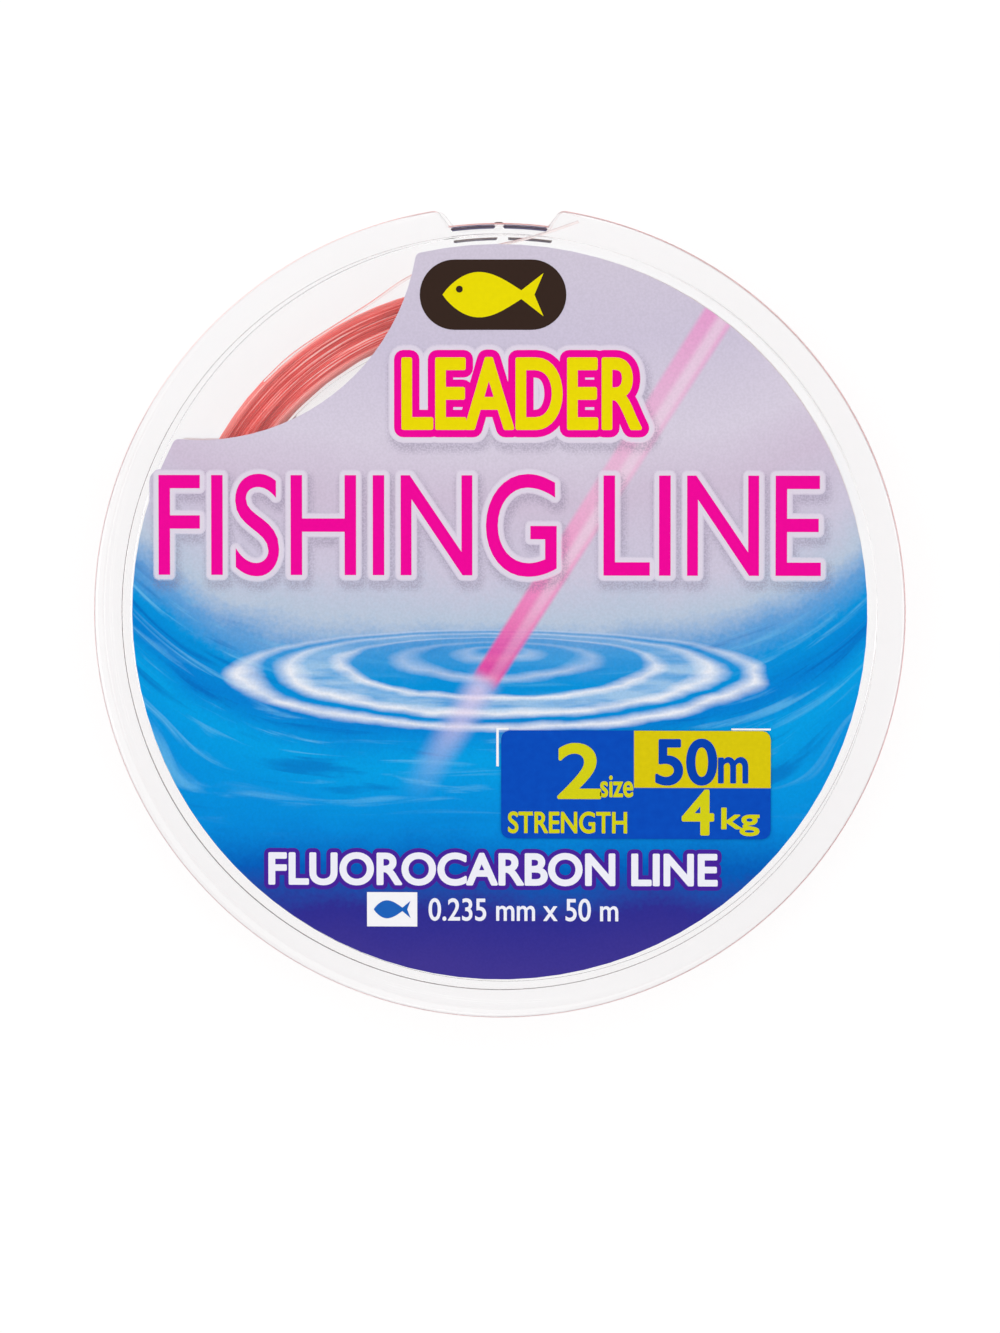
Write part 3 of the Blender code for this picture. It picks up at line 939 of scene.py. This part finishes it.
def smooth_route(route, spacing):
    """Points about evenly spaced on a smooth curve through the route's points."""
    padded = [2 * route[0] - route[1], *route, 2 * route[-1] - route[-2]]
    points = []
    for i in range(len(route) - 1):
        count = max(1, round(float(np.linalg.norm(route[i + 1] - route[i])) / spacing))
        for step in range(count):
            points.append(catmull_rom(*padded[i : i + 4], step / count))
    points.append(route[-1])
    return np.array(points)


def make_tail():
    """The free end, which lies between the flanges and ends beside the notch."""
    path = smooth_route([np.array(point) for point in TAIL_ROUTE], 0.3 * MM)
    add_piece("line_free_end", *tube(path, LINE_RADIUS, 12), free_line(), "line", "line_tail")


# ---- print


def flat_words(words):
    """Generic words in Blender's own font as flat corners and triangles, about one unit high."""
    curve = bpy.data.curves.new(words, "FONT")
    curve.body = words
    curve.resolution_u = 8
    source = bpy.data.objects.new(words, curve)
    bpy.context.scene.collection.objects.link(source)
    bpy.context.view_layer.update()
    graph = bpy.context.evaluated_depsgraph_get()
    mesh = bpy.data.meshes.new_from_object(source.evaluated_get(graph))
    bpy.data.objects.remove(source, do_unlink=True)
    flat = bmesh.new()
    flat.from_mesh(mesh)
    bmesh.ops.remove_doubles(flat, verts=flat.verts, dist=1e-5)
    bmesh.ops.triangulate(flat, faces=flat.faces)
    flat.verts.index_update()
    corners = np.array([vertex.co[:2] for vertex in flat.verts])
    faces = [[vertex.index for vertex in face.verts] for face in flat.faces]
    flat.free()
    bpy.data.meshes.remove(mesh)
    return corners, faces


def counterclockwise(corners, face):
    ring = corners[face] - corners[face[0]]
    following = np.roll(ring, -1, axis=0)
    area = (ring[:, 0] * following[:, 1] - following[:, 0] * ring[:, 1]).sum()
    return face if area > 0 else face[::-1]


def border_edges(faces):
    """The edges that only one face has, each with its face on its left."""
    edges = {(a, b) for face in faces for a, b in zip(face, face[1:] + face[:1])}
    return [(a, b) for a, b in sorted(edges) if (b, a) not in edges]


def holds(polygon, point):
    """True if a convex polygon, counterclockwise, has the point in it."""
    for a, b in zip(polygon, polygon[1:] + polygon[:1]):
        if (b[0] - a[0]) * (point[1] - a[1]) < (b[1] - a[1]) * (point[0] - a[0]):
            return False
    return True


def grow(corners, faces, growth):
    """The union of a flat shape and a border round it, with round outer corners."""
    polygons = [[tuple(corners[i]) for i in face] for face in faces]
    leaving = {}
    for a, b in border_edges(faces):
        run = corners[b] - corners[a]
        run = run / np.linalg.norm(run)
        leaving[a] = (b, run)
    for a, (b, run) in leaving.items():
        out = growth * np.array([run[1], -run[0]])
        border = [corners[a], corners[a] + out, corners[b] + out, corners[b]]
        polygons.append([tuple(corner) for corner in border])
        if b not in leaving:
            continue
        turned = leaving[b][1]
        turn = math.atan2(run[0] * turned[1] - run[1] * turned[0], run @ turned)
        if turn < math.radians(0.1):
            continue
        start = angle_of(out)
        steps = max(1, round(turn / math.radians(20)))
        round_, _ = around(corners[b], growth, start, start + turn, steps)
        polygons.append([tuple(corners[b])] + [tuple(point) for point in round_])
    points = [Vector(point) for polygon in polygons for point in polygon]
    numbers = iter(range(len(points)))
    numbered = [[next(numbers) for _ in polygon] for polygon in polygons]
    merged = delaunay_2d_cdt(points, [], numbered, 0, 1e-5, True)
    places = np.array([tuple(point) for point in merged[0]])
    kept = []
    for face, sources in zip(merged[2], merged[5]):
        middle = places[list(face)].mean(axis=0)
        if any(holds(polygons[source], middle) for source in sources):
            kept.append(list(face))
    return places, kept


def thicken(name, corners, faces, low, material, slot):
    """A flat shape in millimetres as a closed solid, one print layer thick."""
    faces = [counterclockwise(corners, face) for face in faces]
    count = len(corners)
    bottom = np.column_stack([corners * MM, np.full(count, low)])
    top = np.column_stack([corners * MM, np.full(count, low + PRINT_THICKNESS)])
    solid = [face[::-1] for face in faces] + [[i + count for i in face] for face in faces]
    solid += [[a, b, b + count, a + count] for a, b in border_edges(faces)]
    mesh = bpy.data.meshes.new(name)
    mesh.from_pydata(np.concatenate([bottom, top]).tolist(), [], solid)
    loose = bmesh.new()
    loose.from_mesh(mesh)
    bmesh.ops.delete(loose, geom=[v for v in loose.verts if not v.link_faces], context="VERTS")
    loose.to_mesh(mesh)
    loose.free()
    return place_piece(name, mesh, material, slot)


def flat_piece(name, outlines, level, material):
    """Flat shapes on the front label, one for each outline in millimetres."""
    corners = np.array([point for outline in outlines for point in outline])
    numbers = iter(range(len(corners)))
    faces = [[next(numbers) for _ in outline] for outline in outlines]
    return thicken(name, corners, faces, level, material, "front_label")


def text_piece(name, words, centre, size, level, material, slot, growth=0.0, shift=(0.0, 0.0)):
    """Words that fill a box, in millimetres, before growth widens their strokes."""
    corners, faces = flat_words(words)
    lowest = corners.min(axis=0)
    highest = corners.max(axis=0)
    corners = (corners - (lowest + highest) / 2) * np.array(size) / (highest - lowest)
    corners = corners + np.array(centre) + np.array(shift)
    faces = [counterclockwise(corners, face) for face in faces]
    if growth:
        corners, faces = grow(corners, faces, growth)
    return thicken(name, corners, faces, level, material, slot)


def capsule(centre, width, height, steps=24):
    """A bar with round ends, as (x, y) points in millimetres."""
    reach = (width - height) / 2
    right, _ = around((centre[0] + reach, centre[1]), height / 2, -math.pi / 2, math.pi / 2, steps)
    left, _ = around((centre[0] - reach, centre[1]), height / 2, math.pi / 2, 1.5 * math.pi, steps)
    return [tuple(point) for point in np.concatenate([right, left])]


def fish(centre, width, height, steps=20):
    """A plain fish pictogram, as one outline in millimetres. It faces left."""
    share = np.linspace(0, 1, steps + 1)
    nose = -0.5 + 0.78 * share
    belly = 0.5 * np.sin(math.pi * share**0.85) * 0.96 + 0.10 * share
    top = list(zip(nose, belly))
    tail = [(0.5, 0.5), (0.41, 0.0), (0.5, -0.5)]
    bottom = [(x, -y) for x, y in top[::-1]]
    outline = top + tail + bottom[:-1]
    return [(centre[0] + x * width, centre[1] + y * height) for x, y in outline]


def make_badge():
    """A dark bar with a plain fish on it."""
    dark = ink("badge_ink", srgb(55, 39, 32))
    yellow = ink("badge_fish_ink", srgb(240, 224, 0))
    centre = (-0.47, 25.8)
    eye, _ = around((-3.2, 26.25), 0.28, 0, 2 * math.pi, 16)
    flat_piece("label_badge", [capsule(centre, 11.9, 5.7)], FLAT_LEVEL, dark)
    flat_piece("label_badge_fish", [fish(centre, 8.2, 3.5)], FLAT_LEVEL + FLAT_STEP, yellow)
    flat_piece("label_badge_eye", [eye[:-1]], FLAT_LEVEL + 2 * FLAT_STEP, dark)


def veils(name, colour, layers):
    """The label's picture under a colour, as (material, growth) for each layer."""
    rows = []
    for i, (growth, share) in enumerate(layers):
        rows.append((front_label_print(f"label_{name}_{i}", colour, share), growth))
    return rows


def layered_text(name, words, centre, size, layers, shadows=(), glows=()):
    """Words with outlines behind them, and a soft shadow and glow behind those.

    Each layer is (material, growth), from the back to the front.
    """
    widest = layers[0][1]
    rows = [(material, widest + growth, SHADOW_SHIFT) for material, growth in shadows]
    rows += [(material, widest + growth, (0.0, 0.0)) for material, growth in glows]
    rows += [(material, growth, (0.0, 0.0)) for material, growth in layers]
    for i, (material, growth, shift) in enumerate(rows):
        level = TEXT_LEVEL + i * PRINT_STEP
        text_piece(f"{name}_{i}", words, centre, size, level, material, "front_label", growth, shift)


def make_label_print():
    white = ink("white_ink", srgb(248, 247, 250), 0.97)
    magenta = ink("magenta_ink", srgb(246, 0, 156))
    yellow = ink("yellow_ink", srgb(240, 222, 0))
    violet = ink("violet_ink", srgb(72, 34, 156))
    pale = ink("pale_ink", srgb(240, 240, 250), 0.97)
    soft = (
        veils("shadow", srgb(128, 116, 146), SHADOW_LAYERS),
        veils("glow", srgb(227, 218, 233), GLOW_LAYERS),
    )
    layered_text("title", "LEADER", (1.85, 17.8), (19.2, 5.6), [(magenta, 0.76), (yellow, 0.16)], *soft)
    layered_text("subtitle", "FISHING LINE", (-0.8, 7.1), (53.8, 8.3), [(magenta, 0.02)], *soft)
    outlines = [(violet, 0.46), (pale, 0.11)]
    layered_text("material_line", "FLUOROCARBON LINE", (-0.5, -20.9), (36.4, 2.5), outlines)
    layered_text("size_line", "0.235 mm x 50 m", (2.0, -24.2), (15.4, 1.8), [(pale, 0.03)])
    box = [(-10.75, -25.6), (-6.65, -25.6), (-6.65, -22.8), (-10.75, -22.8)]
    flat_piece("label_box", [box], FLAT_LEVEL, white)
    blue = ink("box_fish_ink", srgb(30, 100, 190))
    flat_piece("label_box_fish", [fish((-8.7, -24.2), 3.0, 1.4)], FLAT_LEVEL + FLAT_STEP, blue)
    left_mark = [(-0.20, -12.5), (0.0, -12.5), (0.0, -9.52), (0.8, -9.52), (0.8, -9.36), (-0.20, -9.36)]
    right_mark = [(18.9, -9.52), (22.1, -9.52), (22.1, -9.36), (18.9, -9.36)]
    flat_piece("label_corner_marks", [left_mark, right_mark], FLAT_LEVEL, white)


def make_sticker_print():
    yellow = ink("sticker_yellow_ink", srgb(216, 212, 20))
    blue = ink("sticker_blue_ink", srgb(0, 66, 178))
    rows = [
        ("sticker_size", "2", (6.55, -12.85), (3.3, 4.3), yellow, 0.14),
        ("sticker_size_unit", "size", (9.6, -14.1), (2.6, 1.7), yellow, 0.05),
        ("sticker_length", "50", (15.25, -12.1), (4.8, 3.6), blue, 0.12),
        ("sticker_length_unit", "m", (19.05, -12.75), (2.3, 2.0), blue, 0.08),
        ("sticker_strength_word", "STRENGTH", (5.6, -17.05), (9.6, 1.7), yellow, 0.05),
        ("sticker_strength", "4", (16.2, -16.2), (2.4, 3.5), yellow, 0.12),
        ("sticker_strength_unit", "kg", (19.65, -16.95), (3.0, 2.2), yellow, 0.06),
    ]
    for name, words, centre, size, material, growth in rows:
        text_piece(name, words, centre, size, STICKER_TEXT_LEVEL, material, "sticker", growth)


def paint_cad_nodes():
    """Give the nodes whose shape is right a better material."""
    finishes = {
        "front_label": front_label_print(),
        "rear_label": rear_label_print(),
        "spec_sticker": sticker_print(),
        "start_tape": tape_material(),
    }
    for name, material in finishes.items():
        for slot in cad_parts[name].material_slots:
            slot.material = material


# ---- studio


def make_camera():
    """The photograph's view: nearly from straight above, with the notch at the top."""
    aim = Vector((*CAMERA_AIM, CAMERA_HEIGHT))
    location = Vector((0, 0, CAMERA_HEIGHT)) + CAMERA_DISTANCE * Vector(CAMERA_DIRECTION)
    forward = (aim - location).normalized()
    right = forward.cross(Vector((0, 1, 0))).normalized()
    up = right.cross(forward)
    camera = bpy.data.objects.new("camera", bpy.data.cameras.new("camera"))
    camera.data.lens = CAMERA_LENS
    camera.data.sensor_width = 36
    matrix = Matrix((right, up, -forward)).transposed().to_4x4()
    matrix.translation = location
    camera.matrix_world = matrix
    bpy.context.scene.collection.objects.link(camera)
    bpy.context.scene.camera = camera


def make_world():
    """An even white studio: darker towards the horizon, with three soft lights."""
    world = bpy.data.worlds.new("studio")
    world.use_nodes = True
    bpy.context.scene.world = world
    sky = Nodes(world.node_tree)
    way = sky.node("ShaderNodeTexCoord").outputs["Generated"]
    up = sky.axes(way)[2]
    dome = sky.ease(up, -0.02, 0.9, 0.30, 0.70)
    below = sky.ease(up, -0.03, -0.01, 1.0, 0.0)
    dome = sky.mix(below, sky.vector(dome, dome, dome), WHITE)
    for azimuth, elevation, inner, outer, strength in SOFT_LIGHTS:
        flat = math.cos(math.radians(elevation))
        x = math.sin(math.radians(azimuth)) * flat
        y = math.cos(math.radians(azimuth)) * flat
        towards = (x, y, math.sin(math.radians(elevation)))
        facing = sky.dot(way, towards)
        glow = sky.ease(facing, math.cos(math.radians(outer)), math.cos(math.radians(inner)), 0.0, strength)
        dome = sky.mix(1.0, dome, sky.vector(glow, glow, glow), "ADD")
    seen = sky.node("ShaderNodeLightPath").outputs["Is Camera Ray"]
    dome = sky.mix(seen, dome, WHITE)
    background = world.node_tree.nodes["Background"]
    sky.put(background.inputs["Color"], dome)


def make_floor():
    """A plain white light table."""
    half = FLOOR_HALF_WIDTH
    mesh = bpy.data.meshes.new("floor")
    z = REAR_LOW.z - FLOOR_GAP
    corners = [(-half, -half, z), (half, -half, z), (half, half, z), (-half, half, z)]
    mesh.from_pydata(corners, [], [(0, 1, 2, 3)])
    floor = bpy.data.objects.new("floor", mesh)
    paint = Paint("light_table")
    paint.principled(
        Base_Color=(0.2, 0.2, 0.2, 1.0),
        Roughness=0.9,
        Specular_IOR_Level=0.0,
        Emission_Color=WHITE,
        Emission_Strength=FLOOR_GLOW,
    )
    mesh.materials.append(paint.material)
    bpy.context.scene.collection.objects.link(floor)


bpy.context.scene.view_settings.view_transform = "Standard"
make_camera()
make_world()
make_floor()
make_halves()
make_winding()
make_tail()
paint_cad_nodes()
make_badge()
make_label_print()
make_sticker_print()
